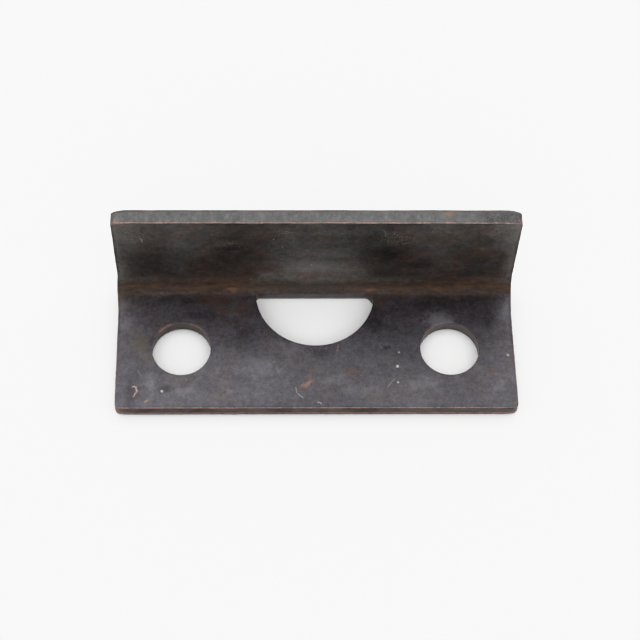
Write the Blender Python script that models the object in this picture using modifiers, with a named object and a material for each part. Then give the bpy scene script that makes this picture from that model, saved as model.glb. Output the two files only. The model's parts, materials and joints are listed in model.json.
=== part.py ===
"""Angle strike plate of a small surface-mounted latch.

One piece of sheet metal: a rectangular blank is sheared, pierced with two screw holes and a
half-moon for the latch bolt, and folded to a right angle so that the flat edge of the half-moon
lies where the bend begins. Metres, +Z up, underside of the base at z = 0, the fold along X and
the upright leg at +Y. The origin is the middle of the underside.
"""

import math

import bmesh
import bpy
from mathutils import Vector

# Driving dimensions of the folded plate.
LENGTH = 0.0381
BASE_DEPTH = 0.0144
LEG_HEIGHT = 0.0137
SHEET = 0.0014
INSIDE_RADIUS = 0.00085
CORNER_RADIUS = 0.0004

# The openings, measured on the flat blank from its front edge.
HOLE_RADIUS = 0.0028
HOLE_SPACING = 0.0257
HOLE_SETBACK = 0.0063
MOON_RADIUS = 0.00575
MOON_SETBACK = 0.0124
MOON_CORNER = 0.0003

# How shearing leaves an edge: round where the blade enters the metal, nearly sharp opposite.
ROLL_OVER = 0.0004
HOLE_ROLL_OVER = 0.00012
SHARP_EDGE = 0.00005
END_BULGE = 0.00018

# How finely curves are divided.
HOLE_STEPS = 48
CORNER_STEPS = 5
FOLD_STEPS = 12
EDGE_SEGMENTS = 3

PATINA = (0.075, 0.068, 0.068, 1.0)
PATINA_METALLIC = 0.9
PATINA_ROUGHNESS = 0.42

# Worked out from the dimensions above.
MIDDLE_RADIUS = INSIDE_RADIUS + SHEET / 2
OUTSIDE_RADIUS = INSIDE_RADIUS + SHEET
FOLD_START = BASE_DEPTH - OUTSIDE_RADIUS
FOLD_LENGTH = MIDDLE_RADIUS * math.pi / 2
BLANK_DEPTH = FOLD_START + FOLD_LENGTH + LEG_HEIGHT - OUTSIDE_RADIUS
WELD = 1e-7


def clear_scene():
    for obj in list(bpy.data.objects):
        bpy.data.objects.remove(obj, do_unlink=True)


def new_collection(name):
    collection = bpy.data.collections.new(name)
    bpy.context.scene.collection.children.link(collection)
    return collection


def arc(centre, radius, start, end, steps):
    """Points along an arc from start to end, in degrees, without its last point."""
    angles = [math.radians(start + (end - start) * i / steps) for i in range(steps)]
    return [centre + radius * Vector((math.cos(a), math.sin(a))) for a in angles]


def blank_outline():
    """The sheared rectangle with its four corners slightly rounded."""
    inset = CORNER_RADIUS
    right, far = LENGTH / 2 - inset, BLANK_DEPTH - inset
    corners = [
        (Vector((right, inset)), -90),
        (Vector((right, far)), 0),
        (Vector((-right, far)), 90),
        (Vector((-right, inset)), 180),
    ]
    points = []
    for centre, start in corners:
        points += arc(centre, CORNER_RADIUS, start, start + 90, CORNER_STEPS)
        end = math.radians(start + 90)
        points.append(centre + CORNER_RADIUS * Vector((math.cos(end), math.sin(end))))
    return points


def screw_hole(side):
    centre = Vector((side * HOLE_SPACING / 2, HOLE_SETBACK))
    return arc(centre, HOLE_RADIUS, 0, 360, HOLE_STEPS)


def half_moon():
    """A half disc with its flat edge towards the leg and its two corners slightly rounded."""
    centre = Vector((0, MOON_SETBACK))
    reach = MOON_RADIUS - MOON_CORNER
    lean = math.degrees(math.asin(MOON_CORNER / reach))
    across = reach * math.cos(math.radians(lean))
    right = centre + Vector((across, -MOON_CORNER))
    left = centre + Vector((-across, -MOON_CORNER))
    return (
        arc(centre, MOON_RADIUS, 180 + lean, 360 - lean, HOLE_STEPS)
        + arc(right, MOON_CORNER, -lean, 90, CORNER_STEPS)
        + [right + Vector((0, MOON_CORNER))]
        + arc(left, MOON_CORNER, 90, 180 + lean, CORNER_STEPS)
    )


def sheet_curve(name, loops):
    """A 2D curve that fills the first loop, less the others, to the sheet's thickness."""
    curve = bpy.data.curves.new(name, "CURVE")
    curve.dimensions = "2D"
    curve.fill_mode = "BOTH"
    curve.extrude = SHEET / 2
    for loop in loops:
        spline = curve.splines.new("POLY")
        spline.points.add(len(loop) - 1)
        spline.use_cyclic_u = True
        for point, place in zip(spline.points, loop):
            point.co = (place.x, place.y, 0.0, 1.0)
    return bpy.data.objects.new(name, curve)


def evaluated_mesh(obj):
    """The object's mesh as its modifiers leave it. The object itself is removed."""
    bpy.context.scene.collection.objects.link(obj)
    graph = bpy.context.evaluated_depsgraph_get()
    mesh = bpy.data.meshes.new_from_object(obj.evaluated_get(graph))
    bpy.data.objects.remove(obj, do_unlink=True)
    return mesh


def is_on_border(point):
    """Whether a point of the blank lies on its outline and not in an opening."""
    inset = 2 * CORNER_RADIUS
    inside_x = abs(point.x) < LENGTH / 2 - inset
    inside_y = inset < point.y < BLANK_DEPTH - inset
    return not (inside_x and inside_y)


def edge_rounding(edge):
    """The width that the bevel takes off an edge of the flat blank."""
    if len(edge.link_faces) != 2 or edge.calc_face_angle() < math.radians(45):
        return 0.0
    first, second = (vert.co for vert in edge.verts)
    if first.z * second.z < 0:
        return 0.0
    on_inner_face = first.z > 0
    if is_on_border((first + second) / 2):
        return SHARP_EDGE if on_inner_face else ROLL_OVER
    return HOLE_ROLL_OVER if on_inner_face else SHARP_EDGE


def flat_blank():
    """The pierced blank with its edges rounded as the shears and punches leave them."""
    curve = sheet_curve("blank_curve", [blank_outline(), screw_hole(-1), screw_hole(1), half_moon()])
    mesh = evaluated_mesh(curve)
    shape = bmesh.new()
    shape.from_mesh(mesh)
    bmesh.ops.remove_doubles(shape, verts=shape.verts, dist=WELD)
    bmesh.ops.dissolve_limit(
        shape, angle_limit=math.radians(0.5), verts=shape.verts, edges=shape.edges
    )
    bmesh.ops.recalc_face_normals(shape, faces=shape.faces)
    weight = shape.edges.layers.float.new("bevel_weight_edge")
    for edge in shape.edges:
        edge[weight] = edge_rounding(edge) / ROLL_OVER
    shape.to_mesh(mesh)
    shape.free()

    blank = bpy.data.objects.new("blank", mesh)
    bevel = blank.modifiers.new("sheared_edges", "BEVEL")
    bevel.limit_method = "WEIGHT"
    bevel.width = ROLL_OVER
    bevel.segments = EDGE_SEGMENTS
    bevel.loop_slide = False
    return evaluated_mesh(blank)


def folded(place):
    """Where a point of the flat blank goes when the leg is folded up."""
    x, along, height = place.x, place.y, place.z + SHEET / 2
    turn = min(max(along - FOLD_START, 0.0), FOLD_LENGTH) / MIDDLE_RADIUS
    past = max(along - FOLD_START - FOLD_LENGTH, 0.0)
    before = min(along, FOLD_START)
    radius = OUTSIDE_RADIUS - height
    # The inside of a bend is squeezed and swells a little past the sheet's ends.
    near_end = max(0.0, 1 - (LENGTH / 2 - abs(x)) / SHEET)
    swell = END_BULGE * near_end * math.sin(2 * turn) * height / SHEET
    return Vector((
        x + math.copysign(swell, x),
        before + radius * math.sin(turn) - BASE_DEPTH / 2,
        OUTSIDE_RADIUS - radius * math.cos(turn) + past,
    ))


def fold(mesh):
    """Folds the blank at FOLD_START, after dividing it at each step of the bend."""
    shape = bmesh.new()
    shape.from_mesh(mesh)
    for step in range(FOLD_STEPS + 1):
        bmesh.ops.bisect_plane(
            shape,
            geom=shape.verts[:] + shape.edges[:] + shape.faces[:],
            dist=WELD,
            plane_co=(0, FOLD_START + FOLD_LENGTH * step / FOLD_STEPS, 0),
            plane_no=(0, 1, 0),
        )
    for vert in shape.verts:
        vert.co = folded(vert.co)
    bmesh.ops.triangulate(shape, faces=shape.faces)
    bmesh.ops.recalc_face_normals(shape, faces=shape.faces)
    shape.to_mesh(mesh)
    shape.free()


def patina_material():
    material = bpy.data.materials.new("dark_oxidised_copper_plate")
    material.use_nodes = True
    shader = material.node_tree.nodes["Principled BSDF"]
    shader.inputs["Base Color"].default_value = PATINA
    shader.inputs["Metallic"].default_value = PATINA_METALLIC
    shader.inputs["Roughness"].default_value = PATINA_ROUGHNESS
    material.diffuse_color = PATINA
    return material


def strike_plate(collection):
    mesh = flat_blank()
    fold(mesh)
    mesh.name = "strike_plate"
    mesh.materials.clear()
    mesh.materials.append(patina_material())
    mesh.shade_smooth()
    mesh.set_sharp_from_angle(angle=math.radians(30))
    plate = bpy.data.objects.new("strike_plate", mesh)
    collection.objects.link(plate)
    return plate


def main():
    clear_scene()
    strike_plate(new_collection("angle_strike_plate"))


main()
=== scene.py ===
"""Angle strike plate of a surface-mounted latch, as a Blender add-on.

The plate is sheared and pierced as a flat blank, and a Geometry Nodes tree folds it. Its finish is
sheet steel plated with copper and darkened to a satin brown-black, worn to bare copper along the
sheared edges. Lengths are in metres, except in the material and in the "blank" attribute, which
hold millimetres measured on the flat blank: across, from the front edge, and above the outer face.
"""

import json
import math

import bmesh
import bpy
from bpy.props import FloatProperty, FloatVectorProperty, IntProperty, PointerProperty
from mathutils import Matrix, Vector


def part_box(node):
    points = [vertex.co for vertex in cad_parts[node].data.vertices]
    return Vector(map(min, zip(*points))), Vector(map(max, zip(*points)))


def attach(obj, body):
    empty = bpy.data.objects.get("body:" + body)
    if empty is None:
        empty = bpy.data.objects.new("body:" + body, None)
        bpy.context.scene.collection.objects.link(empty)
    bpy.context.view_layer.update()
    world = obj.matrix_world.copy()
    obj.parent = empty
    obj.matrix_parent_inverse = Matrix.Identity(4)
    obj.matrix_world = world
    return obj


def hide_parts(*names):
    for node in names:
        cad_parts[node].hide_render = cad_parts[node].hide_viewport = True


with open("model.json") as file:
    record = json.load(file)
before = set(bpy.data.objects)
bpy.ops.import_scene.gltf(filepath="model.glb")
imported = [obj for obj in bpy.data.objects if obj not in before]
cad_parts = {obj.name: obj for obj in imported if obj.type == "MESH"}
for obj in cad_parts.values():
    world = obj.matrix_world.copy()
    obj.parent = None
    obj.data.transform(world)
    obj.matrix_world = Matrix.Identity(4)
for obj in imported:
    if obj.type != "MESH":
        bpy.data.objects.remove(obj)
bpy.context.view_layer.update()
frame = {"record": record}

bl_info = {
    "name": "Angle Strike Plate",
    "version": (1, 0, 0),
    "blender": (4, 5, 0),
    "location": "3D View > Sidebar > Strike Plate",
    "description": "Makes a folded sheet-metal strike plate with a worn oxidised-copper finish",
    "category": "Add Mesh",
}

NODE = "strike_plate"
MM = 0.001

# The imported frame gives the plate's overall sizes and its sheet.
LOW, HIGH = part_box(NODE)
FACES = {mount["name"]: mount["pos_m"] for mount in frame["record"]["mounts"]}
SHEET = FACES["base_top"][2] - FACES["base_seat"][2]

# How far the metal swells past the sheet's ends in the bend, and how much less at the right.
END_SWELL = 0.00018
RIGHT_SWELL_LOSS = 0.45

# The half-moon's left corner is tight and its right corner is easier.
MOON_CORNERS = (0.00035, 0.0008)

# How far the punches round the openings' edges on the inner face. The openings' edges on the outer
# face and the outline's edges on the inner face are nearly sharp.
HOLE_ROLL_OVER = 0.00022
MOON_ROLL_OVER = 0.0001
SHARP_EDGE = 0.00004

# How finely the blank is divided: steps round a curve and a corner, segments over a rounded edge,
# the grid over its faces, and the extra cuts beside its outline.
HOLE_STEPS = 96
CORNER_STEPS = 8
EDGE_SEGMENTS = 5
GRID = 0.0003
NEAR_EDGE = (0.00008, 0.00016, 0.00026, 0.0004)
WELD = 1e-7

# An edge that turns more than the first is rounded, and one that turns less than the second goes.
ROUNDED_ANGLE = math.radians(45)
DISSOLVED_ANGLE = math.radians(0.5)

# How far from an edge, a hole or the middle of the bend the metal is disturbed.
FLARE_REACH = 0.0007
LIP_REACH = 0.00022
LIP_CREST = 0.00004
WANDER_REACH = 0.0006
CORNER_REACH = 0.0013
SLANT_REACH = 0.010
SWELL_REACH = 0.0036
SWELL_DEPTH = 1.2 * SHEET

# The sheared ends wander in by a few hundredths of a millimetre.
WANDER = 0.00003

# How fine the chance shapes are, in patches per metre.
BURR_PATCHES = 900.0
FLATNESS_PATCHES = 260.0
WANDER_PATCHES = 700.0

# How strongly each layer of the finish shows over the one below it.
SATIN_SHOWS = 0.2
DARK_SHOWS = 0.22
BROWN_SHOWS = 0.4
OLIVE_SHOWS = 0.5
RUST_SHOWS = 0.4
SHEARED_SHOWS = 0.92
GRIME_SHOWS = 0.7
TOP_RUST_SHOWS = 0.3
FRONT_DIRT_SHOWS = 0.4
PITS_SHOW = 0.45
OUTER_SATIN_SHOWS = 0.3
OUTER_COPPER_SHOWS = 0.3
# Painted shade: how much darker the outer face is painted, partly to offset the lamp behind that
# lights it and partly as a darker skin.
OUTER_SHADE_AND_SKIN = 0.28

# The bare skin's metallic value and roughness, and the heights of its relief in millimetres.
METALLIC = 0.92
ROUGHNESS = 0.37
GRAIN_HEIGHT = 0.0022
SPECKLE_HEIGHT = 0.0010
CLOUD_HEIGHT = 0.006
BLADE_LINE_HEIGHT = 0.006

# The camera looks down at the plate from the front, a little from its left, and is tilted.
LENS = 109.6
SENSOR_WIDTH = 36.0
CAMERA_AZIMUTH = -2.66
CAMERA_ELEVATION = 62.04
CAMERA_ROLL = 2.31
CAMERA_DISTANCE = 0.190
CAMERA_TARGET = (0.0005, 0.00296, 0.0)
CLIP_START = 0.01
CLIP_END = 10.0

# The paper floor lies just below the plate. The lamp hangs above and behind it.
FLOOR_GAP = 0.0002
FLOOR_HALF_SIZE = 2.0
PAPER_ROUGHNESS = 0.9
PAPER_SPECULAR = 0.1
LAMP_SIZE = 0.5
LAMP_DISTANCE = 0.6
LAMP_DIRECTION = (0.05, 0.38, 0.92)


class Term:
    """An output in a node tree. Arithmetic on it adds Math nodes to the tree."""

    def __init__(self, tree, socket):
        self.tree = tree
        self.socket = socket

    def add(self, kind, settings=None, values=None, output=0):
        """Adds a node: its settings come first, then values or links for its sockets."""
        node = self.tree.nodes.new(kind)
        for name, value in (settings or {}).items():
            setattr(node, name, value)
        for key, value in (values or {}).items():
            if isinstance(value, Term):
                self.tree.links.new(value.socket, node.inputs[key])
            else:
                node.inputs[key].default_value = value
        return Term(self.tree, node.outputs[output])

    def math(self, operation, *values):
        return self.add(
            "ShaderNodeMath", {"operation": operation}, dict(enumerate((self, *values)))
        )

    def __add__(self, other):
        return self.math("ADD", other)

    __radd__ = __add__

    def __mul__(self, other):
        return self.math("MULTIPLY", other)

    __rmul__ = __mul__

    def __sub__(self, other):
        return self.math("SUBTRACT", other)

    def __rsub__(self, other):
        return (self * -1.0) + other

    def __truediv__(self, other):
        return self.math("DIVIDE", other)

    def __abs__(self):
        return self.math("ABSOLUTE")

    def least(self, other):
        return self.math("MINIMUM", other)

    def most(self, other):
        return self.math("MAXIMUM", other)

    def step(self, low, high):
        """0 below low and 1 above high, smoothly. With low above high it falls instead."""
        if low > high:
            return 1.0 - self.step(high, low)
        return self.add(
            "ShaderNodeMapRange",
            {"interpolation_type": "SMOOTHSTEP"},
            {"Value": self, "From Min": low, "From Max": high},
        )

    def blend(self, below, above):
        """The colour below where this is 0, and the colour above where it is 1."""
        return self.add(
            "ShaderNodeMix", {"data_type": "RGBA"}, {0: self, 6: below, 7: above}, output=2
        )

    def scaled(self, by):
        """A vector or colour times a number."""
        return self.add(
            "ShaderNodeVectorMath", {"operation": "SCALE"}, {"Vector": self, "Scale": by}
        )

    def parts(self):
        """The three numbers of a vector."""
        node = self.add("ShaderNodeSeparateXYZ", values={"Vector": self})
        return [Term(self.tree, socket) for socket in node.socket.node.outputs]


# ---------------------------------------------------------------- settings


class StrikePlateSizes(bpy.types.PropertyGroup):
    length: FloatProperty(
        name="Length", description="Length along the fold",
        default=HIGH.x - LOW.x - 2 * END_SWELL, unit="LENGTH",
    )
    base_depth: FloatProperty(
        name="Base Depth", description="From the front edge to the back of the leg",
        default=HIGH.y - LOW.y, unit="LENGTH",
    )
    leg_height: FloatProperty(
        name="Leg Height", description="From the underside to the top of the leg",
        default=HIGH.z - LOW.z, unit="LENGTH",
    )
    sheet: FloatProperty(
        name="Sheet", description="Thickness of the metal", default=SHEET, unit="LENGTH",
    )
    inside_radius: FloatProperty(
        name="Inside Radius", description="Radius of the inside of the fold",
        default=0.00085, unit="LENGTH",
    )
    corner_radius: FloatProperty(
        name="Corner Radius", description="Rounding of the four free corners",
        default=0.0004, unit="LENGTH",
    )
    hole_radius: FloatProperty(
        name="Hole Radius", description="Radius of the two screw holes",
        default=0.0028, unit="LENGTH",
    )
    hole_spacing: FloatProperty(
        name="Hole Spacing", description="Between the centres of the screw holes",
        default=0.0257, unit="LENGTH",
    )
    hole_setback: FloatProperty(
        name="Hole Setback", description="From the front edge to the centres of the holes",
        default=0.0063, unit="LENGTH",
    )
    hole_flare: FloatProperty(
        name="Hole Flare", description="How much wider the holes break out on the outer face",
        default=0.00004, unit="LENGTH",
    )
    moon_radius: FloatProperty(
        name="Half-moon Radius", description="Radius of the opening for the latch bolt",
        default=0.00575, unit="LENGTH",
    )
    moon_setback: FloatProperty(
        name="Half-moon Setback", description="From the front edge to its flat edge, on the blank",
        default=0.0124, unit="LENGTH",
    )
    roll_over: FloatProperty(
        name="Roll-over", description="Rounding that the shears leave on the outer face's edges",
        default=0.0004, unit="LENGTH",
    )
    corner_roll_over: FloatProperty(
        name="Corner Roll-over", description="How far the outer face is drawn in at its corners",
        default=0.00032, unit="LENGTH",
    )
    out_of_square: FloatProperty(
        name="Out of Square", description="How far the right end runs out at the front edge",
        default=0.00016, unit="LENGTH",
    )
    burr: FloatProperty(
        name="Burr", description="Height of the lip left on the inner face's edges",
        default=0.00003, unit="LENGTH",
    )
    unevenness: FloatProperty(
        name="Unevenness", description="How far the sheet is out of flat",
        default=0.00002, unit="LENGTH",
    )
    seed: IntProperty(
        name="Seed", description="Changes the chance part of the shape and finish", default=7,
    )


def colour_setting(name, description, default):
    return FloatVectorProperty(
        name=name, description=description, subtype="COLOR", size=3, min=0.0, max=1.0,
        default=default,
    )


class StrikePlatePatina(bpy.types.PropertyGroup):
    base_oxide: colour_setting("Base Oxide", "Dark skin on the base", (0.090, 0.086, 0.094))
    leg_oxide: colour_setting("Leg Oxide", "Dark skin on the upright leg", (0.089, 0.085, 0.082))
    brown_oxide: colour_setting("Brown Oxide", "Warm clouds in the skin", (0.098, 0.080, 0.072))
    green_oxide: colour_setting("Green Oxide", "Cool clouds in the skin", (0.079, 0.084, 0.077))
    satin: colour_setting("Satin", "Patches where the skin is rubbed thin", (0.22, 0.22, 0.24))
    stain_dark: colour_setting("Dark Stain", "Old stain in the fold", (0.031, 0.021, 0.017))
    stain_brown: colour_setting("Brown Stain", "Stain spread over the faces", (0.115, 0.080, 0.066))
    stain_olive: colour_setting("Olive Stain", "Stain beside the holes", (0.118, 0.104, 0.086))
    stain_light: colour_setting("Light Stain", "Brightest part of the stain", (0.132, 0.068, 0.034))
    rust_spot: colour_setting("Rust Spot", "Spot on the top of the leg", (0.30, 0.16, 0.09))
    fleck: colour_setting("Flecks", "Tan specks on the faces", (0.30, 0.25, 0.20))
    scratch: colour_setting("Scratches", "Pale scratches and dots", (0.50, 0.46, 0.43))
    sheared: colour_setting("Sheared Edge", "Metal on the cut edges", (0.103, 0.102, 0.103))
    edge_grime: colour_setting("Edge Grime", "Cut edges that dirt has reached", (0.088, 0.074, 0.068))
    copper: colour_setting("Copper", "Copper where the skin is worn away", (0.34, 0.19, 0.155))
    # Painted light: how much paler the skin is painted beside the fold, to lift the shade there.
    painted_light_amount: FloatProperty(
        name="Shelter Amount", description="How much paler the skin is beside the fold",
        default=0.72, min=0.0, max=2.0,
    )
    mottle_amount: FloatProperty(
        name="Mottle Amount", description="How uneven the skin is", default=1.0, min=0.0, max=2.0,
    )
    stain_amount: FloatProperty(
        name="Stain Amount", description="How strong the staining is", default=1.0, min=0.0, max=1.0,
    )
    wear_amount: FloatProperty(
        name="Wear Amount", description="How far the edges are worn to copper",
        default=1.0, min=0.0, max=1.0,
    )


class StrikePlateStage(bpy.types.PropertyGroup):
    floor_colour: FloatVectorProperty(
        name="Floor", description="Colour of the paper floor", subtype="COLOR",
        size=3, min=0.0, max=1.0, default=(0.9, 0.9, 0.9),
    )
    sky_strength: FloatProperty(
        name="Sky", description="Strength of the light from all round", default=1.62,
    )
    lamp_power: FloatProperty(
        name="Lamp", description="Power of the soft lamp above and behind", default=0.8, unit="POWER",
    )


# ---------------------------------------------------------------- the blank


def arc(centre, radius, start, end, steps):
    """Points along an arc from start to end, in degrees, without its last point."""
    angles = [math.radians(start + (end - start) * i / steps) for i in range(steps)]
    return [centre + radius * Vector((math.cos(a), math.sin(a))) for a in angles]


def bend_length(sizes):
    """How much of the blank the bend takes, along the middle of the sheet."""
    return (sizes.inside_radius + sizes.sheet / 2) * math.pi / 2


def blank_depth(sizes):
    """From the front edge of the flat blank to its far edge."""
    outside = sizes.inside_radius + sizes.sheet
    return sizes.base_depth + sizes.leg_height - 2 * outside + bend_length(sizes)


def fold_start(sizes):
    """From the front edge to where the bend begins."""
    return sizes.base_depth - sizes.inside_radius - sizes.sheet


def outline_loop(sizes):
    """The sheared rectangle with its corners rounded, front edge at y = 0."""
    radius = sizes.corner_radius
    right, far = sizes.length / 2 - radius, blank_depth(sizes) - radius
    corners = [(right, radius, -90), (right, far, 0), (-right, far, 90), (-right, radius, 180)]
    points = []
    for x, y, start in corners:
        points += arc(Vector((x, y)), radius, start, start + 90, CORNER_STEPS)
        end = math.radians(start + 90)
        points.append(Vector((x, y)) + radius * Vector((math.cos(end), math.sin(end))))
    return points


def hole_loop(sizes, side):
    centre = Vector((side * sizes.hole_spacing / 2, sizes.hole_setback))
    return arc(centre, sizes.hole_radius, 0, 360, HOLE_STEPS)


def moon_loop(sizes):
    """A half disc with its flat edge towards the leg and its two corners rounded."""
    centre = Vector((0, sizes.moon_setback))
    corners, leans = [], []
    for side, radius in zip((-1, 1), MOON_CORNERS):
        reach = sizes.moon_radius - radius
        lean = math.degrees(math.asin(radius / reach))
        place = centre + Vector((side * reach * math.cos(math.radians(lean)), -radius))
        leans.append(lean)
        corners.append((place, radius))
    (left, left_radius), (right, right_radius) = corners
    return (
        arc(centre, sizes.moon_radius, 180 + leans[0], 360 - leans[1], HOLE_STEPS)
        + arc(right, right_radius, -leans[1], 90, CORNER_STEPS)
        + [right + Vector((0, right_radius))]
        + arc(left, left_radius, 90, 180 + leans[0], CORNER_STEPS)
    )


def plain_mesh(obj):
    """The object's mesh as its modifiers leave it. The object itself is removed."""
    bpy.context.scene.collection.objects.link(obj)
    graph = bpy.context.evaluated_depsgraph_get()
    mesh = bpy.data.meshes.new_from_object(obj.evaluated_get(graph))
    bpy.data.objects.remove(obj, do_unlink=True)
    return mesh


def filled_sheet(name, loops, thickness):
    """A mesh that fills the first loop, less the others, from z = 0 to the thickness."""
    curve = bpy.data.curves.new(name, "CURVE")
    curve.dimensions = "2D"
    curve.fill_mode = "BOTH"
    curve.extrude = thickness / 2
    for loop in loops:
        spline = curve.splines.new("POLY")
        spline.points.add(len(loop) - 1)
        spline.use_cyclic_u = True
        for point, place in zip(spline.points, loop):
            point.co = (place.x, place.y, 0.0, 1.0)
    mesh = plain_mesh(bpy.data.objects.new(name, curve))
    bpy.data.curves.remove(curve)
    mesh.transform(Matrix.Translation((0, 0, thickness / 2)))
    return mesh


def edge_rounding(edge, sizes):
    """How much of an edge of the flat blank the shears and punches round off."""
    if len(edge.link_faces) != 2 or edge.calc_face_angle() < ROUNDED_ANGLE:
        return 0.0
    first, second = (vert.co for vert in edge.verts)
    if abs(first.z - second.z) > sizes.sheet / 2:
        return 0.0
    inner = first.z > sizes.sheet / 2
    inset = 2 * sizes.corner_radius
    middle = (first + second) / 2
    in_opening = (
        abs(middle.x) < sizes.length / 2 - inset
        and inset < middle.y < blank_depth(sizes) - inset
    )
    if in_opening:
        rolled = MOON_ROLL_OVER if abs(middle.x) < 1.1 * sizes.moon_radius else HOLE_ROLL_OVER
        return rolled if inner else SHARP_EDGE
    return SHARP_EDGE if inner else sizes.roll_over


def round_edges(mesh, sizes):
    """Marks the blank's edges with how far each is rounded, and bevels them."""
    shape = bmesh.new()
    shape.from_mesh(mesh)
    bmesh.ops.remove_doubles(shape, verts=shape.verts, dist=WELD)
    bmesh.ops.dissolve_limit(
        shape, angle_limit=DISSOLVED_ANGLE, verts=shape.verts, edges=shape.edges
    )
    bmesh.ops.recalc_face_normals(shape, faces=shape.faces)
    weight = shape.edges.layers.float.new("bevel_weight_edge")
    for edge in shape.edges:
        edge[weight] = edge_rounding(edge, sizes) / sizes.roll_over
    shape.to_mesh(mesh)
    shape.free()
    blank = bpy.data.objects.new("blank", mesh)
    bevel = blank.modifiers.new("sheared_edges", "BEVEL")
    bevel.limit_method = "WEIGHT"
    bevel.width = sizes.roll_over
    bevel.segments = EDGE_SEGMENTS
    bevel.loop_slide = False
    return plain_mesh(blank)


def cuts_across(low, high):
    """Where one direction of the blank is divided: evenly, and more closely near both ends."""
    count = round((high - low) / GRID)
    even = [low + (high - low) * i / count for i in range(1, count)]
    close = [low + gap for gap in NEAR_EDGE] + [high - gap for gap in NEAR_EDGE]
    return sorted(even + close)


def divide(mesh, sizes):
    """Cuts the blank's faces into a fine grid, so that they can bend and be uneven."""
    half = sizes.length / 2
    shape = bmesh.new()
    shape.from_mesh(mesh)
    for normal, low, high in (((1, 0, 0), -half, half), ((0, 1, 0), 0.0, blank_depth(sizes))):
        for place in cuts_across(low, high):
            bmesh.ops.bisect_plane(
                shape,
                geom=shape.verts[:] + shape.edges[:] + shape.faces[:],
                dist=WELD,
                plane_co=Vector(normal) * place,
                plane_no=normal,
            )
    bmesh.ops.recalc_face_normals(shape, faces=shape.faces)
    shape.to_mesh(mesh)
    shape.free()


def make_blank(sizes):
    """The flat blank: pierced, its edges rounded, and its faces divided."""
    loops = [outline_loop(sizes), hole_loop(sizes, -1), hole_loop(sizes, 1), moon_loop(sizes)]
    mesh = round_edges(filled_sheet("blank_curve", loops, sizes.sheet), sizes)
    divide(mesh, sizes)
    mesh.shade_smooth()
    return mesh


# ---------------------------------------------------------------- the fold


def fold_values(sizes):
    """The named inputs of the fold and what they are set to."""
    return {
        "Length": sizes.length,
        "Base Depth": sizes.base_depth,
        "Blank Depth": blank_depth(sizes),
        "Sheet": sizes.sheet,
        "Inside Radius": sizes.inside_radius,
        "End Swell": END_SWELL,
        "Burr": sizes.burr,
        "Unevenness": sizes.unevenness,
        "Corner Roll-over": sizes.corner_roll_over,
        "Out of Square": sizes.out_of_square,
        "Hole Radius": sizes.hole_radius,
        "Hole Spacing": sizes.hole_spacing,
        "Hole Setback": sizes.hole_setback,
        "Hole Flare": sizes.hole_flare,
        "Seed": float(sizes.seed),
    }


def flare(given, x, along, height):
    """A point's place from the nearer hole's centre, and the share by which it moves outwards."""
    aside = x - x.math("SIGN") * given["Hole Spacing"] / 2
    ahead = along - given["Hole Setback"]
    reach = (aside * aside + ahead * ahead).math("SQRT")
    past_rim = reach - given["Hole Radius"]
    low_down = (height / given["Sheet"]).step(0.62, 0.08)
    opening = past_rim.step(FLARE_REACH, 0.0) * low_down * given["Hole Flare"] / reach.most(MM)
    return aside, ahead, opening


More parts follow.
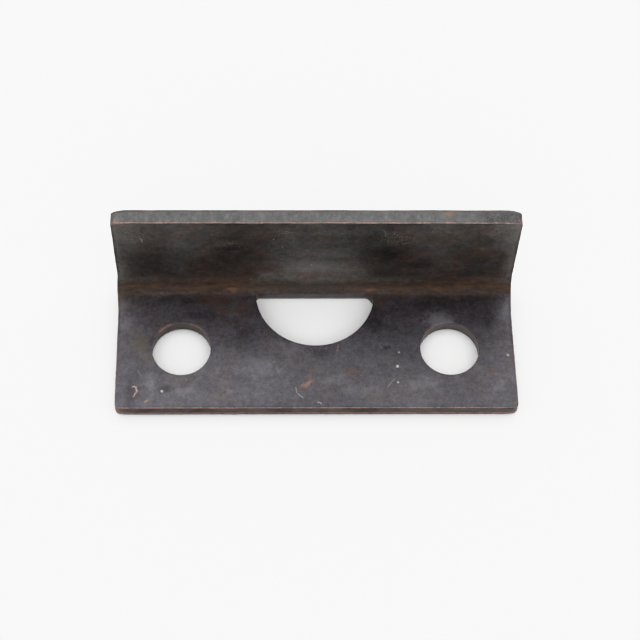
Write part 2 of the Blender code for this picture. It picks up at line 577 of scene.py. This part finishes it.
def fold_tree(numbers):
    """Geometry Nodes that fold a flat blank and give it a burr, a swell and some unevenness."""
    tree = bpy.data.node_groups.new("fold_sheet", "GeometryNodeTree")
    tree.interface.new_socket("Geometry", in_out="OUTPUT", socket_type="NodeSocketGeometry")
    tree.interface.new_socket("Geometry", in_out="INPUT", socket_type="NodeSocketGeometry")
    for name in numbers:
        tree.interface.new_socket(name, in_out="INPUT", socket_type="NodeSocketFloat")
    tree.interface.new_socket("Finish", in_out="INPUT", socket_type="NodeSocketMaterial")
    sources = tree.nodes.new("NodeGroupInput").outputs
    given = {name: Term(tree, sources[name]) for name in numbers}
    finish = Term(tree, sources["Finish"])
    geometry = Term(tree, sources["Geometry"])

    place = geometry.add("GeometryNodeInputPosition")
    x, along, height = place.parts()
    sheet = given["Sheet"]
    half = given["Length"] / 2
    marked = geometry.add(
        "GeometryNodeStoreNamedAttribute",
        {"data_type": "FLOAT_VECTOR", "domain": "POINT"},
        {"Geometry": geometry, "Name": "blank", "Value": place.scaled(1 / MM)},
    )

    def chance(patches, offset):
        """Noise over the blank from 0 to 1, with its patches per metre."""
        spot = place.add(
            "ShaderNodeCombineXYZ", values={"X": x, "Y": along, "Z": given["Seed"] * 0.01 + offset}
        )
        noise = place.add(
            "ShaderNodeTexNoise",
            {"noise_dimensions": "3D"},
            {"Vector": spot, "Scale": patches, "Detail": 2.0},
        )
        return noise.step(0.25, 0.75)

    # The punch breaks out wider than it goes in.
    aside, ahead, opening = flare(given, x, along, height)
    x = x + aside * opening
    along = along + ahead * opening

    # How near a point is to the blank's outline, and the lip that shearing leaves there.
    to_side = half - abs(x)
    to_border = to_side.least(along).least(given["Blank Depth"] - along)
    on_inner = height.step(0.9 * SHEET, 0.99 * SHEET)
    lip_shape = to_border.step(LIP_REACH, LIP_CREST)
    lip = lip_shape * on_inner * given["Burr"] * (chance(BURR_PATCHES, 0.3) * 0.9 + 0.3)
    rise = chance(FLATNESS_PATCHES, 0.0) * given["Unevenness"]

    # The sheared ends wander in.
    wander = chance(WANDER_PATCHES, 0.6) * WANDER
    far = given["Blank Depth"] - along
    drawn_in = x.math("SIGN") * wander * to_side.step(WANDER_REACH, 0.0)
    near_front = along.step(WANDER_REACH, 0.0)
    near_top = far.step(WANDER_REACH, 0.0)

    # Near a corner the outer face rolls over further, and the right end is out of square.
    corner = (to_side * to_side + along.least(far) * along.least(far)).math("SQRT")
    lift_shape = (1.0 - corner / CORNER_REACH).most(0.0)
    lift = lift_shape.math("POWER", 1.6) * (1.0 - height / sheet) * given["Corner Roll-over"]
    slant = (x / half).step(0.2, 1.0) * along.step(SLANT_REACH, 0.0)
    runs_out = slant * given["Out of Square"]
    along = along + wander * near_front - wander * near_top

    # The fold itself: an arc about the inside radius, then the straight leg.
    middle_radius = given["Inside Radius"] + sheet / 2
    outside_radius = given["Inside Radius"] + sheet
    start = given["Base Depth"] - outside_radius
    bend = middle_radius * (math.pi / 2)
    turn = (along - start).most(0.0).least(bend) / middle_radius
    past = (along - start - bend).most(0.0)
    radius = outside_radius - height - lip - rise - lift

    # The inside of the bend is squeezed and swells past the sheet's ends, less at the right.
    in_bend = abs(along - start - bend / 2).step(SWELL_REACH, 0.0)
    swell_shape = to_side.step(SWELL_DEPTH, 0.0) * in_bend * (height / sheet)
    weaker_right = 1.0 - RIGHT_SWELL_LOSS * x.step(0.0, MM)
    swell = x.math("SIGN") * swell_shape * weaker_right * given["End Swell"]
    folded = place.add(
        "ShaderNodeCombineXYZ",
        values={
            "X": x + swell + runs_out - drawn_in,
            "Y": along.least(start) + radius * turn.math("SINE") - given["Base Depth"] / 2,
            "Z": outside_radius - radius * turn.math("COSINE") + past,
        },
    )
    moved = geometry.add("GeometryNodeSetPosition", values={"Geometry": marked, "Position": folded})
    realised = geometry.add("GeometryNodeRealizeInstances", values={"Geometry": moved})
    painted = geometry.add(
        "GeometryNodeSetMaterial", values={"Geometry": realised, "Material": finish}
    )
    outlet = tree.nodes.new("NodeGroupOutput")
    tree.links.new(painted.socket, outlet.inputs["Geometry"])
    return tree


def set_inputs(modifier, values):
    """Sets a Geometry Nodes modifier's inputs. Each is found by name and set by identifier."""
    for item in modifier.node_group.interface.items_tree:
        if item.in_out == "INPUT" and item.name in values:
            modifier[item.identifier] = values[item.name]


def make_plate(sizes, finish):
    """The folded plate's mesh, with its finish."""
    blank = bpy.data.objects.new("folding", make_blank(sizes))
    folding = blank.modifiers.new("fold", "NODES")
    values = fold_values(sizes)
    folding.node_group = fold_tree(tuple(values))
    set_inputs(folding, {**values, "Finish": finish})
    mesh = plain_mesh(blank)
    mesh.name = "folded_strike_plate"
    return mesh


# ---------------------------------------------------------------- the marks

# Marks on the inner face, in millimetres on the blank. Patches are (across, along, half width,
# half depth), strokes are (start, end, half width) and dots are (across, along, radius). Each may
# end in a strength, which is 1 where none is given.
ORANGE_SPOTS = (
    (-8.0, 13.1, 0.9, 0.7), (-8.3, 14.7, 1.2, 1.1, 0.5), (5.2, 13.0, 1.0, 0.6),
    (4.0, 13.2, 1.6, 0.5, 0.5), (15.7, 21.3, 0.36, 0.4), (-5.6, 13.2, 1.4, 0.4, 0.4),
    (-16.2, 14.2, 2.0, 0.7, 0.4),
)
BROWN_PATCHES = (
    (-10.0, 15.6, 7.5, 1.7), (-4.8, 17.6, 2.8, 1.8), (-5.1, 20.4, 1.3, 1.0), (0.5, 16.4, 5.0, 1.1),
    (15.8, 20.8, 1.8, 1.5), (9.0, 14.4, 8.0, 0.9), (-9.0, 10.4, 1.3, 0.7), (-7.2, 10.8, 1.1, 0.7),
    (-6.6, 9.6, 0.9, 0.7, 0.5), (-9.0, 7.1, 1.0, 0.5, 0.6), (3.5, 4.0, 1.1, 0.7, 0.7),
    (16.7, 4.1, 0.5, 0.5), (-9.6, 11.6, 2.6, 0.8), (-15.5, 10.2, 1.4, 0.8, 0.4),
    (6.2, 11.6, 1.2, 0.8), (11.0, 23.0, 4.5, 1.4, 0.6), (-13.0, 23.6, 4.0, 1.0, 0.6),
    (13.6, 19.4, 3.0, 1.4, 0.6), (15.6, 15.6, 3.0, 0.8, 0.7),
)
OLIVE_PATCHES = (
    (-16.8, 7.0, 1.6, 1.6), (-15.9, 5.4, 1.0, 0.9, 0.7), (-17.4, 8.2, 0.9, 1.0, 0.6),
    (-12.6, 3.4, 2.2, 0.4, 0.5), (15.4, 4.4, 0.9, 0.6, 0.5), (5.6, 1.4, 2.0, 0.5, 0.4),
    (-9.4, 1.2, 2.4, 0.4, 0.4), (6.1, 11.0, 0.5, 1.4, 0.5),
)
FLECK_CLUSTERS = (
    (-8.0, 22.3, 2.0, 1.0), (7.4, 23.2, 2.6, 1.9), (16.4, 24.3, 1.6, 0.9),
    (-16.8, 23.6, 1.8, 1.8, 0.8), (-2.8, 23.9, 1.6, 1.0, 0.9), (1.6, 24.2, 2.4, 1.0, 0.6),
    (12.0, 24.6, 2.2, 0.7, 0.7),
)
SATIN_PATCHES = (
    (12.0, 9.4, 2.0, 1.1, 2.8), (-15.8, 2.9, 0.7, 1.5, 0.9), (-12.6, 1.7, 1.5, 0.7),
    (-8.1, 1.7, 0.6, 0.4), (17.3, 2.4, 1.1, 0.9, 0.7), (4.0, 1.8, 2.6, 0.8, 0.5),
    (-5.6, 4.4, 3.0, 1.6, 0.8), (-18.2, 8.9, 0.8, 0.9), (18.5, 10.4, 0.7, 1.0, 0.8),
    (10.0, 2.6, 2.2, 1.0, 0.7), (-2.0, 6.2, 1.5, 0.9, 0.7), (1.8, 3.0, 1.6, 0.8, 0.6),
    (-12.5, 22.0, 2.0, 1.8, 0.5), (-0.6, 18.0, 3.6, 1.9, 0.7), (2.4, 20.6, 3.0, 1.6, 0.5),
)
DARK_PATCHES = (
    (6.9, 6.4, 0.7, 0.35, 1.5), (-8.2, 21.4, 1.8, 0.6, 1.2), (11.7, 15.4, 3.4, 0.8, 1.4),
    (-16.1, 18.1, 3.2, 2.6, 0.7), (-11.0, 18.2, 3.4, 1.6, 0.4), (6.7, 20.3, 1.8, 1.6),
    (9.8, 18.4, 2.2, 1.1, 1.1), (0.6, 5.7, 1.4, 0.8), (-12.0, 11.8, 3.2, 0.7),
    (-11.4, 10.0, 2.6, 0.7), (12.0, 11.2, 3.8, 0.8, 0.7), (5.6, 9.2, 1.6, 1.4),
    (-6.8, 7.2, 1.2, 2.2, 0.7), (-14.3, 2.0, 1.0, 0.6, 1.2), (-17.6, 1.8, 0.9, 2.4),
    (16.8, 9.4, 1.0, 1.5, 0.8), (18.6, 19.6, 2.2, 5.5, 0.9), (-18.8, 20.0, 1.4, 5.0, 0.7),
)
RUST_STROKES = (
    ((-1.5, 2.0), (-0.2, 3.1), 0.30, 0.55), ((-0.6, 2.9), (-0.4, 4.4), 0.20, 0.3),
    ((3.0, 4.1), (3.8, 3.9), 0.30, 0.25),
)
WORN_RIM = (
    (-14.3, 8.4, 1.6, 1.4), (-11.3, 8.6, 1.2, 1.0, 0.7), (11.2, 8.6, 1.6, 1.0, 0.4),
)
COPPER_SCRATCHES = (
    ((-1.4, 2.1), (-0.3, 3.0), 0.18, 0.3), ((-17.5, 2.2), (-17.1, 2.35), 0.11),
    ((-17.15, 2.35), (-16.95, 1.6), 0.10), ((-17.0, 1.75), (-17.3, 1.1), 0.10, 0.8),
    ((-16.3, 0.6), (-15.85, 0.95), 0.13), ((2.2, 6.9), (2.0, 5.9), 0.12, 0.5),
)
BRIGHT_SCRATCHES = (
    ((-17.5, 2.2), (-17.1, 2.35), 0.14, 0.7), ((-17.1, 2.4), (-16.95, 1.6), 0.13, 0.6),
    ((-17.0, 1.75), (-17.3, 1.1), 0.14, 0.5), ((-1.95, 2.3), (-1.8, 1.5), 0.06, 0.8),
    ((-1.85, 1.6), (-1.1, 0.95), 0.06, 0.8), ((0.1, 0.7), (0.6, 0.35), 0.11, 0.7),
    ((-16.45, 23.3), (-16.25, 22.4), 0.08), ((6.7, 2.1), (7.6, 3.2), 0.07, 0.4),
    ((6.1, 24.9), (6.5, 24.0), 0.05), ((8.0, 22.2), (8.9, 22.5), 0.05),
    ((-8.5, 22.5), (-7.7, 22.2), 0.05), ((-17.0, 4.0), (-16.5, 3.2), 0.06, 0.3),
    ((-3.0, 24.6), (-2.4, 24.3), 0.045),
)
BRIGHT_DOTS = (
    (7.8, 4.4, 0.17, 1.0), (7.8, 2.7, 0.13, 0.6), (8.0, 5.9, 0.13, 0.5), (18.4, 5.6, 0.16, 0.5),
    (-14.6, 1.8, 0.16, 0.7), (-0.4, 18.2, 0.11, 0.6), (-4.0, 23.1, 0.10, 0.6),
    (2.2, 17.5, 0.07, 0.6), (-3.2, 21.6, 0.09, 0.6), (11.0, 17.2, 0.09, 0.5),
)


# ---------------------------------------------------------------- the finish


def opaque(colour):
    return (*colour, 1.0)


def strongest(masks):
    """The largest of several masks."""
    total = masks[0]
    for mask in masks[1:]:
        total = total.most(mask)
    return total


class Surface:
    """Where a point of the plate lies on the flat blank, in millimetres, as terms of a shader."""

    def __init__(self, tree, sizes):
        start = Term(tree, None)
        self.place = start.add("ShaderNodeAttribute", {"attribute_name": "blank"}, output="Vector")
        self.across, self.along, self.height = self.place.parts()
        self.sheet = sizes.sheet / MM
        self.half = sizes.length / 2 / MM
        self.depth = blank_depth(sizes) / MM
        self.fold = fold_start(sizes) / MM
        self.bend_middle = self.fold + bend_length(sizes) / MM / 2

        side = self.half - abs(self.across)
        self.to_outline = side.least(self.along).least(self.depth - self.along)
        self.to_holes = self.distance(
            abs(self.across), self.along,
            sizes.hole_spacing / 2 / MM, sizes.hole_setback / MM,
        ) - sizes.hole_radius / MM
        moon = self.distance(self.across, self.along, 0.0, sizes.moon_setback / MM)
        to_moon = (moon - sizes.moon_radius / MM).most(self.along - sizes.moon_setback / MM)
        self.to_openings = self.to_holes.least(to_moon)
        self.at_top = self.along.step(self.depth - 1.0, self.depth - 0.6)

        self.inner = self.height.step(self.sheet - 0.09, self.sheet - 0.03)
        self.outer = self.height.step(0.35, 0.1)
        self.on_faces = (self.inner + self.outer).least(1.0)
        self.sheared = 1.0 - self.inner - self.outer

        self.ragged = self.noise(1.7, 4.0, shift=5.0, roughness=0.65)
        self.grain = self.noise(2.6, 4.0, shift=31.0, roughness=0.72)
        self.speckle = self.noise(8.0, 2.0, shift=47.0, roughness=0.6)
        self.rubbed = self.noise(1.2, 3.0, shift=83.0, roughness=0.65)
        self.broken = self.noise(5.0, 2.0, shift=89.0, roughness=0.6)

    @staticmethod
    def distance(across, along, to_across, to_along):
        first, second = across - to_across, along - to_along
        return (first * first + second * second).math("SQRT")

    def noise(self, scale, detail=2.0, stretch=(1.0, 1.0, 1.0), shift=0.0, roughness=0.5):
        """Fractal noise over the blank, from 0 to 1, with about scale patches per millimetre."""
        moved = self.place.add(
            "ShaderNodeMapping",
            values={"Vector": self.place, "Location": (shift, shift, 0.0), "Scale": stretch},
        )
        return self.place.add(
            "ShaderNodeTexNoise",
            values={"Vector": moved, "Scale": scale, "Detail": detail, "Roughness": roughness},
        )

    def patch(self, across, along, wide, deep, strength=1.0):
        """A soft ragged patch, strongest at its middle and 0 outside its half sizes."""
        first = (self.across - across) / wide
        second = (self.along - along) / deep
        reach = (first * first + second * second).math("SQRT")
        return (reach + (self.ragged - 0.5) * 1.8).step(1.0, 0.2) * strength

    def stroke(self, start, end, width, strength=1.0):
        """A thin straight mark between two points, fading at its ends."""
        run = (end[0] - start[0], end[1] - start[1])
        length = math.hypot(*run)
        ahead = ((self.across - start[0]) * run[0] + (self.along - start[1]) * run[1]) / length
        aside = ((self.across - start[0]) * run[1] - (self.along - start[1]) * run[0]) / length
        sway = (self.ragged - 0.5) * (4.0 * width)
        beyond = abs(ahead - length / 2) / (length / 2)
        return abs(aside + sway).step(width, 0.2 * width) * beyond.step(1.0, 0.5) * strength

    def dot(self, across, along, radius, strength=1.0):
        """A small round mark with a soft edge."""
        reach = self.distance(self.across, self.along, across, along)
        return reach.step(1.2 * radius, 0.3 * radius) * strength

    def patches(self, marks):
        return strongest([self.patch(*mark) for mark in marks])

    def strokes(self, marks):
        return strongest([self.stroke(*mark) for mark in marks])

    def dots(self, marks):
        return strongest([self.dot(*mark) for mark in marks])


def oxide_colour(surface, patina):
    """The dark satin skin: bluish grey on the base, greener and browner up the leg."""
    cloud = surface.noise(0.17, 2.0)
    blotch = surface.noise(0.75, 4.0, shift=11.0, roughness=0.62)
    tint = surface.noise(0.42, 3.0, shift=23.0, roughness=0.6)
    on_leg = surface.along.step(surface.fold - 2.5, surface.fold + 3.0)
    colour = on_leg.blend(opaque(patina.base_oxide), opaque(patina.leg_oxide))
    brown = tint.step(0.47, 0.68) * (0.25 + 0.4 * on_leg)
    colour = brown.blend(colour, opaque(patina.brown_oxide))
    green = tint.step(0.48, 0.30) * (0.2 + 0.3 * on_leg)
    colour = green.blend(colour, opaque(patina.green_oxide))

    # Cloudy blotches, and long faint streaks across the blank.
    streak = surface.noise(0.9, 3.0, stretch=(0.22, 1.0, 1.0), shift=37.0, roughness=0.6)
    blotches = (blotch - 0.5) * (0.45 + 0.35 * on_leg)
    streaks = (streak - 0.5) * (0.3 - 0.15 * on_leg)
    mottle = (cloud - 0.5) * 0.4 + blotches + streaks
    # Painted light: the skin is painted paler low on the leg and on the base beside the fold, to lift
    # the shade that falls there. The base's right half is darker.
    painted_fold_light = (surface.along - surface.fold - 1.6).step(8.0, 2.5) * on_leg * 1.2
    painted_fold_light = painted_fold_light.most((surface.fold - surface.along).step(5.0, 0.5) * 0.45)
    right_half_tone = 1.0 - 0.11 * surface.across.step(-5.0, 1.0) * (1.0 - on_leg)
    light = right_half_tone * (1.0 + mottle * patina.mottle_amount)
    light = light * (1.0 + painted_fold_light * patina.painted_light_amount)
    return colour.scaled(light.most(0.25))


def face_colour(surface, patina, brown):
    """The skin with its grain, the patches where it is thin or thick, and its old stains."""
    colour = oxide_colour(surface, patina)
    up_leg = surface.along.step(surface.fold, surface.fold + 2.0)
    grit = (surface.grain - 0.5) * (0.9 - 0.1 * up_leg)
    grit = grit * surface.on_faces * (1.0 - 0.5 * surface.outer)
    grit = grit + (surface.speckle - 0.5) * (0.5 - 0.2 * surface.outer)
    colour = colour.scaled(1.0 + grit)

    satin = surface.patches(SATIN_PATCHES) * surface.inner
    colour = (satin * SATIN_SHOWS).blend(colour, opaque(patina.satin))
    dark = surface.patches(DARK_PATCHES) * surface.inner
    colour = colour.scaled(1.0 - dark * DARK_SHOWS)
    colour = (brown * BROWN_SHOWS * patina.stain_amount).blend(colour, opaque(patina.stain_brown))
    olive = surface.patches(OLIVE_PATCHES) * surface.inner
    colour = (olive * OLIVE_SHOWS * patina.stain_amount).blend(colour, opaque(patina.stain_olive))
    rust = surface.strokes(RUST_STROKES) * surface.inner
    return (rust * RUST_SHOWS * patina.stain_amount).blend(colour, opaque(patina.rust_spot))


def fold_stain(surface, patina):
    """Brown staining that lies in the fold and runs a little way up the leg, and its colour."""
    sway = surface.ragged - 0.5
    band = abs(surface.along - surface.bend_middle - 0.2 + sway * 2.2).step(3.0, 0.4)
    band = band * (surface.along - surface.fold + sway * 1.2).step(-1.4, 0.9)
    rust = surface.noise(1.3, 4.0, stretch=(0.5, 1.0, 1.0), shift=61.0, roughness=0.7)
    rust = rust.step(0.38, 0.66)
    spots = surface.patches(ORANGE_SPOTS) * (0.35 + 0.65 * rust)
    ends = abs(surface.across).step(2.0, 9.0)
    stain = (band * (0.72 + 0.12 * ends)).most(spots * 0.7)
    stain = stain * surface.inner * patina.stain_amount
    lighter = (rust * (0.08 + 0.24 * ends) + spots * 0.75).least(1.0)
    return stain, lighter.blend(opaque(patina.stain_dark), opaque(patina.stain_light))


def fleck_mask(surface):
    """Tan specks: gathered in clusters high on the leg, and a few anywhere."""
    gathered = surface.patches(FLECK_CLUSTERS) * surface.speckle.step(0.55, 0.63) * surface.inner
    sparse = surface.speckle.step(0.66, 0.74) * surface.ragged.step(0.48, 0.6) * surface.on_faces
    return (gathered * 0.65).most(sparse * 0.5)


def sheared_colour(surface, patina, blade_lines):
    """The cut edges: greyer, with fine lines along the way that the blade went."""
    cloud = surface.noise(1.3, 3.0, shift=77.0, roughness=0.65)
    tone = (0.85 + 0.3 * blade_lines) * (0.65 + 0.7 * cloud) * (0.65 + 0.7 * surface.speckle)
    colour = surface.place.add(
        "ShaderNodeVectorMath", {"operation": "SCALE"},
        {"Vector": tuple(patina.sheared), "Scale": tone},
    )
    grimy = surface.along.step(1.0, 0.4).most(surface.to_openings.step(0.6, 0.2))
    colour = (grimy * GRIME_SHOWS).blend(colour, opaque(patina.edge_grime))
    colour = colour.scaled(0.8 + 0.4 * cloud)
    # The right-hand hole was punched cleaner than the left-hand one.
    cleaner = 1.2 + 0.35 * surface.across.step(-1.0, 1.0)
    in_hole = surface.to_holes.step(0.6, 0.2)
    colour = colour.scaled(1.0 + in_hole * (cleaner - 1.0))
    # The top of the leg is pitted near its right end and has one rusty spot.
    pitted = surface.across.step(14.2, 16.0) * surface.at_top * surface.speckle.step(0.42, 0.55)
    colour = colour.scaled(1.0 - PITS_SHOW * pitted)
    to_spot = surface.distance(surface.across, surface.height * 1.4, 12.3, 0.5)
    rusty = to_spot.step(0.8, 0.1) * surface.at_top
    colour = (rusty * TOP_RUST_SHOWS).blend(colour, opaque(patina.rust_spot))
    dirt = surface.noise(0.35, 3.0, shift=101.0).step(0.62, 0.38)
    return colour.scaled(1.0 - FRONT_DIRT_SHOWS * (surface.along.step(0.5, 0.2) * dirt))


def copper_mask(surface, patina):
    """Where handling has rubbed the burr, the corners, the rounded edges and the rims to copper."""
    rubbed, broken = surface.rubbed, surface.broken
    at_burr = surface.height.step(surface.sheet - 0.13, surface.sheet - 0.04)
    burr_line = surface.to_outline.step(0.075, 0.02) * at_burr
    worn = (0.18 + 0.65 * rubbed.step(0.36, 0.62)) * (0.4 + 0.8 * broken.step(0.4, 0.6))
    on_side = (surface.half - abs(surface.across)).step(0.12, 0.05)
    wear = burr_line * worn * (1.0 - 0.6 * on_side * surface.along.step(6.0, 10.0))

    to_corner = surface.distance(
        abs(surface.across), abs(surface.along - surface.depth / 2),
        surface.half, surface.depth / 2,
    )
    corner = to_corner.step(0.9, 0.25) * at_burr.most(surface.to_outline.step(0.3, 0.1))
    wear = wear.most(corner * rubbed.step(0.48, 0.62) * 0.35)

    rolled = surface.to_outline.step(0.16, 0.04) * surface.height.step(0.44, 0.32)
    on_front = surface.along.step(0.3, 0.1)
    rolled_wear = (0.3 + 0.5 * on_front) * (on_front * 0.45 + rubbed.step(0.40, 0.6)).least(1.0)
    lower = rolled * surface.height.step(0.05, 0.2)
    wear = wear.most(lower * rolled_wear * (1.0 - surface.at_top))

    on_rim = surface.height.step(surface.sheet - 0.3, surface.sheet - 0.1)
    on_rim = on_rim * surface.to_openings.step(0.28, 0.02)
    wear = wear.most(on_rim * surface.patches(WORN_RIM) * 0.5)
    scratches = surface.strokes(COPPER_SCRATCHES) * surface.inner
    wear = wear.most(scratches * (0.3 + 0.7 * broken.step(0.35, 0.6)) * 0.75)
    return (wear * patina.wear_amount).least(1.0)


def bright_mask(surface):
    """Pale scratches and dots on the inner face."""
    marks = (surface.strokes(BRIGHT_SCRATCHES) * 0.45).most(surface.dots(BRIGHT_DOTS) * 0.85)
    uneven = (0.5 + 0.8 * surface.broken.step(0.35, 0.6)).least(1.0)
    return marks * surface.inner * uneven


def outer_face(surface, patina, colour):
    """The outer face, drawn a little by the folding die and rubbed on the bend.

    Gives the colour with this added, and the mask of its polished lines.
    """
    drawn = surface.noise(1.6, 4.0, stretch=(0.06, 2.2, 1.0), shift=97.0, roughness=0.65)
    hairlines = surface.noise(1.0, 2.0, stretch=(0.10, 3.4, 1.0), shift=103.0).step(0.66, 0.70)
    from_bend = abs(surface.along - surface.bend_middle)
    die_lines = abs(from_bend - 4.6).step(0.5, 0.1) * 0.5 + from_bend.step(1.7, 0.3) * 0.6
    polish = (die_lines * (0.3 + 0.9 * drawn.step(0.4, 0.65)) + hairlines * 0.5) * surface.outer
    # Painted shade: the outer face is painted darker, partly to offset the lamp behind that lights it
    # and partly as a darker skin.
    darker = 1.0 - OUTER_SHADE_AND_SKIN * surface.outer
    colour = colour.scaled((1.0 + (drawn - 0.5) * 0.7 * surface.outer) * darker)
    colour = (polish * OUTER_SATIN_SHOWS).least(1.0).blend(colour, opaque(patina.satin))
    crest = from_bend.step(1.3, 0.2) * surface.rubbed.step(0.48, 0.66)
    crest = crest * surface.outer * patina.wear_amount
    return (crest * OUTER_COPPER_SHOWS).blend(colour, opaque(patina.copper)), polish


def oxidised_copper(sizes, patina):
    """Copper-plated sheet steel, darkened, stained in the fold and worn bright at its edges."""
    material = bpy.data.materials.new("oxidised_copper_plate")
    material.use_nodes = True
    tree = material.node_tree
    shader = tree.nodes["Principled BSDF"]
    surface = Surface(tree, sizes)
    brown = surface.patches(BROWN_PATCHES) * surface.inner
    stain, stain_colour = fold_stain(surface, patina)
    flecks = fleck_mask(surface)
    blade_lines = surface.noise(7.0, 2.0, stretch=(1.0, 1.0, 0.15), shift=71.0)
    bright = bright_mask(surface)

    colour = face_colour(surface, patina, brown)
    colour = stain.blend(colour, stain_colour)
    colour = flecks.blend(colour, opaque(patina.fleck))
    cut = sheared_colour(surface, patina, blade_lines)
    colour = (surface.sheared * SHEARED_SHOWS).blend(colour, cut)
    colour = copper_mask(surface, patina).blend(colour, opaque(patina.copper))
    colour = bright.blend(colour, opaque(patina.scratch))
    colour, polish = outer_face(surface, patina, colour)

    metallic = METALLIC - stain * 0.85 - bright * 0.3 - flecks * 0.3
    rough = (
        ROUGHNESS + 0.16 * surface.ragged + stain * 0.4 + brown * 0.08 + surface.sheared * 0.06
        - polish * 0.08 - surface.outer * 0.05
    )
    relief = (
        surface.grain * GRAIN_HEIGHT + surface.speckle * SPECKLE_HEIGHT
        + surface.ragged * CLOUD_HEIGHT + blade_lines * surface.sheared * BLADE_LINE_HEIGHT
    )
    normal = surface.place.add(
        "ShaderNodeBump", values={"Strength": 1.0, "Distance": MM, "Height": relief}
    )
    for name, term in (
        ("Base Color", colour), ("Metallic", metallic), ("Roughness", rough), ("Normal", normal),
    ):
        tree.links.new(term.socket, shader.inputs[name])
    return material


# ---------------------------------------------------------------- the stage


def aim(camera, azimuth, elevation, roll, distance, target):
    """Stands a camera at a distance from its target. Azimuth 0 looks along +Y."""
    around, up = math.radians(azimuth), math.radians(elevation)
    back = Vector((
        math.sin(around) * math.cos(up), -math.cos(around) * math.cos(up), math.sin(up)
    ))
    turn = (-back).to_track_quat("-Z", "Y").to_matrix() @ Matrix.Rotation(math.radians(roll), 3, "Z")
    camera.location = target + back * distance
    camera.rotation_euler = turn.to_euler()


def make_camera():
    data = bpy.data.cameras.new("camera")
    data.sensor_width = SENSOR_WIDTH
    data.lens = LENS
    data.clip_start = CLIP_START
    data.clip_end = CLIP_END
    camera = bpy.data.objects.new("camera", data)
    aim(
        camera, CAMERA_AZIMUTH, CAMERA_ELEVATION, CAMERA_ROLL, CAMERA_DISTANCE,
        Vector(CAMERA_TARGET),
    )
    bpy.context.scene.collection.objects.link(camera)
    bpy.context.scene.camera = camera


def make_floor(settings):
    """A sheet of white paper, far larger than the plate."""
    mesh = bpy.data.meshes.new("floor")
    shape = bmesh.new()
    bmesh.ops.create_grid(shape, x_segments=1, y_segments=1, size=FLOOR_HALF_SIZE)
    shape.to_mesh(mesh)
    shape.free()
    material = bpy.data.materials.new("paper")
    material.use_nodes = True
    shader = material.node_tree.nodes["Principled BSDF"]
    shader.inputs["Base Color"].default_value = opaque(settings.floor_colour)
    shader.inputs["Roughness"].default_value = PAPER_ROUGHNESS
    shader.inputs["Specular IOR Level"].default_value = PAPER_SPECULAR
    mesh.materials.append(material)
    floor = bpy.data.objects.new("floor", mesh)
    floor.location.z = LOW.z - FLOOR_GAP
    bpy.context.scene.collection.objects.link(floor)


def make_lights(settings):
    """A white sky all round, and one soft lamp."""
    world = bpy.data.worlds.new("studio")
    world.use_nodes = True
    background = world.node_tree.nodes["Background"]
    background.inputs["Color"].default_value = (1, 1, 1, 1)
    background.inputs["Strength"].default_value = settings.sky_strength
    bpy.context.scene.world = world
    bpy.context.scene.view_settings.view_transform = "Khronos PBR Neutral"
    data = bpy.data.lights.new("overhead", "AREA")
    data.shape = "DISK"
    data.size = LAMP_SIZE
    data.energy = settings.lamp_power
    lamp = bpy.data.objects.new("overhead", data)
    toward = Vector(LAMP_DIRECTION).normalized()
    lamp.location = toward * LAMP_DISTANCE
    lamp.rotation_euler = toward.to_track_quat("Z", "Y").to_euler()
    bpy.context.scene.collection.objects.link(lamp)


# ---------------------------------------------------------------- operators


class STRIKE_OT_plate(bpy.types.Operator):
    """Make the folded plate with its worn finish"""

    bl_idname = "strike.plate"
    bl_label = "Make Strike Plate"

    def execute(self, context):
        sizes = context.scene.strike_sizes
        mesh = make_plate(sizes, oxidised_copper(sizes, context.scene.strike_patina))
        if not mesh.polygons:
            raise RuntimeError("the fold gave no faces")
        plate = bpy.data.objects.new("folded_plate", mesh)
        context.scene.collection.objects.link(plate)
        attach(plate, "root")
        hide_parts(NODE)
        return {"FINISHED"}


class STRIKE_OT_stage(bpy.types.Operator):
    """Make the floor, the studio light and the camera"""

    bl_idname = "strike.stage"
    bl_label = "Make Stage"

    def execute(self, context):
        settings = context.scene.strike_stage
        make_camera()
        make_floor(settings)
        make_lights(settings)
        return {"FINISHED"}


class STRIKE_PT_panel(bpy.types.Panel):
    """Settings and buttons for the strike plate"""

    bl_idname = "STRIKE_PT_panel"
    bl_label = "Strike Plate"
    bl_space_type = "VIEW_3D"
    bl_region_type = "UI"
    bl_category = "Strike Plate"

    def draw(self, context):
        layout = self.layout
        scene = context.scene
        for group in (scene.strike_sizes, scene.strike_patina, scene.strike_stage):
            for name in type(group).__annotations__:
                layout.prop(group, name)
        layout.operator(STRIKE_OT_plate.bl_idname)
        layout.operator(STRIKE_OT_stage.bl_idname)


CLASSES = (
    StrikePlateSizes,
    StrikePlatePatina,
    StrikePlateStage,
    STRIKE_OT_plate,
    STRIKE_OT_stage,
    STRIKE_PT_panel,
)


def register():
    for cls in CLASSES:
        bpy.utils.register_class(cls)
    bpy.types.Scene.strike_sizes = PointerProperty(type=StrikePlateSizes)
    bpy.types.Scene.strike_patina = PointerProperty(type=StrikePlatePatina)
    bpy.types.Scene.strike_stage = PointerProperty(type=StrikePlateStage)


def unregister():
    del bpy.types.Scene.strike_stage
    del bpy.types.Scene.strike_patina
    del bpy.types.Scene.strike_sizes
    for cls in reversed(CLASSES):
        bpy.utils.unregister_class(cls)


def main():
    register()
    bpy.ops.strike.stage()
    bpy.ops.strike.plate()


if __name__ == "__main__":
    main()
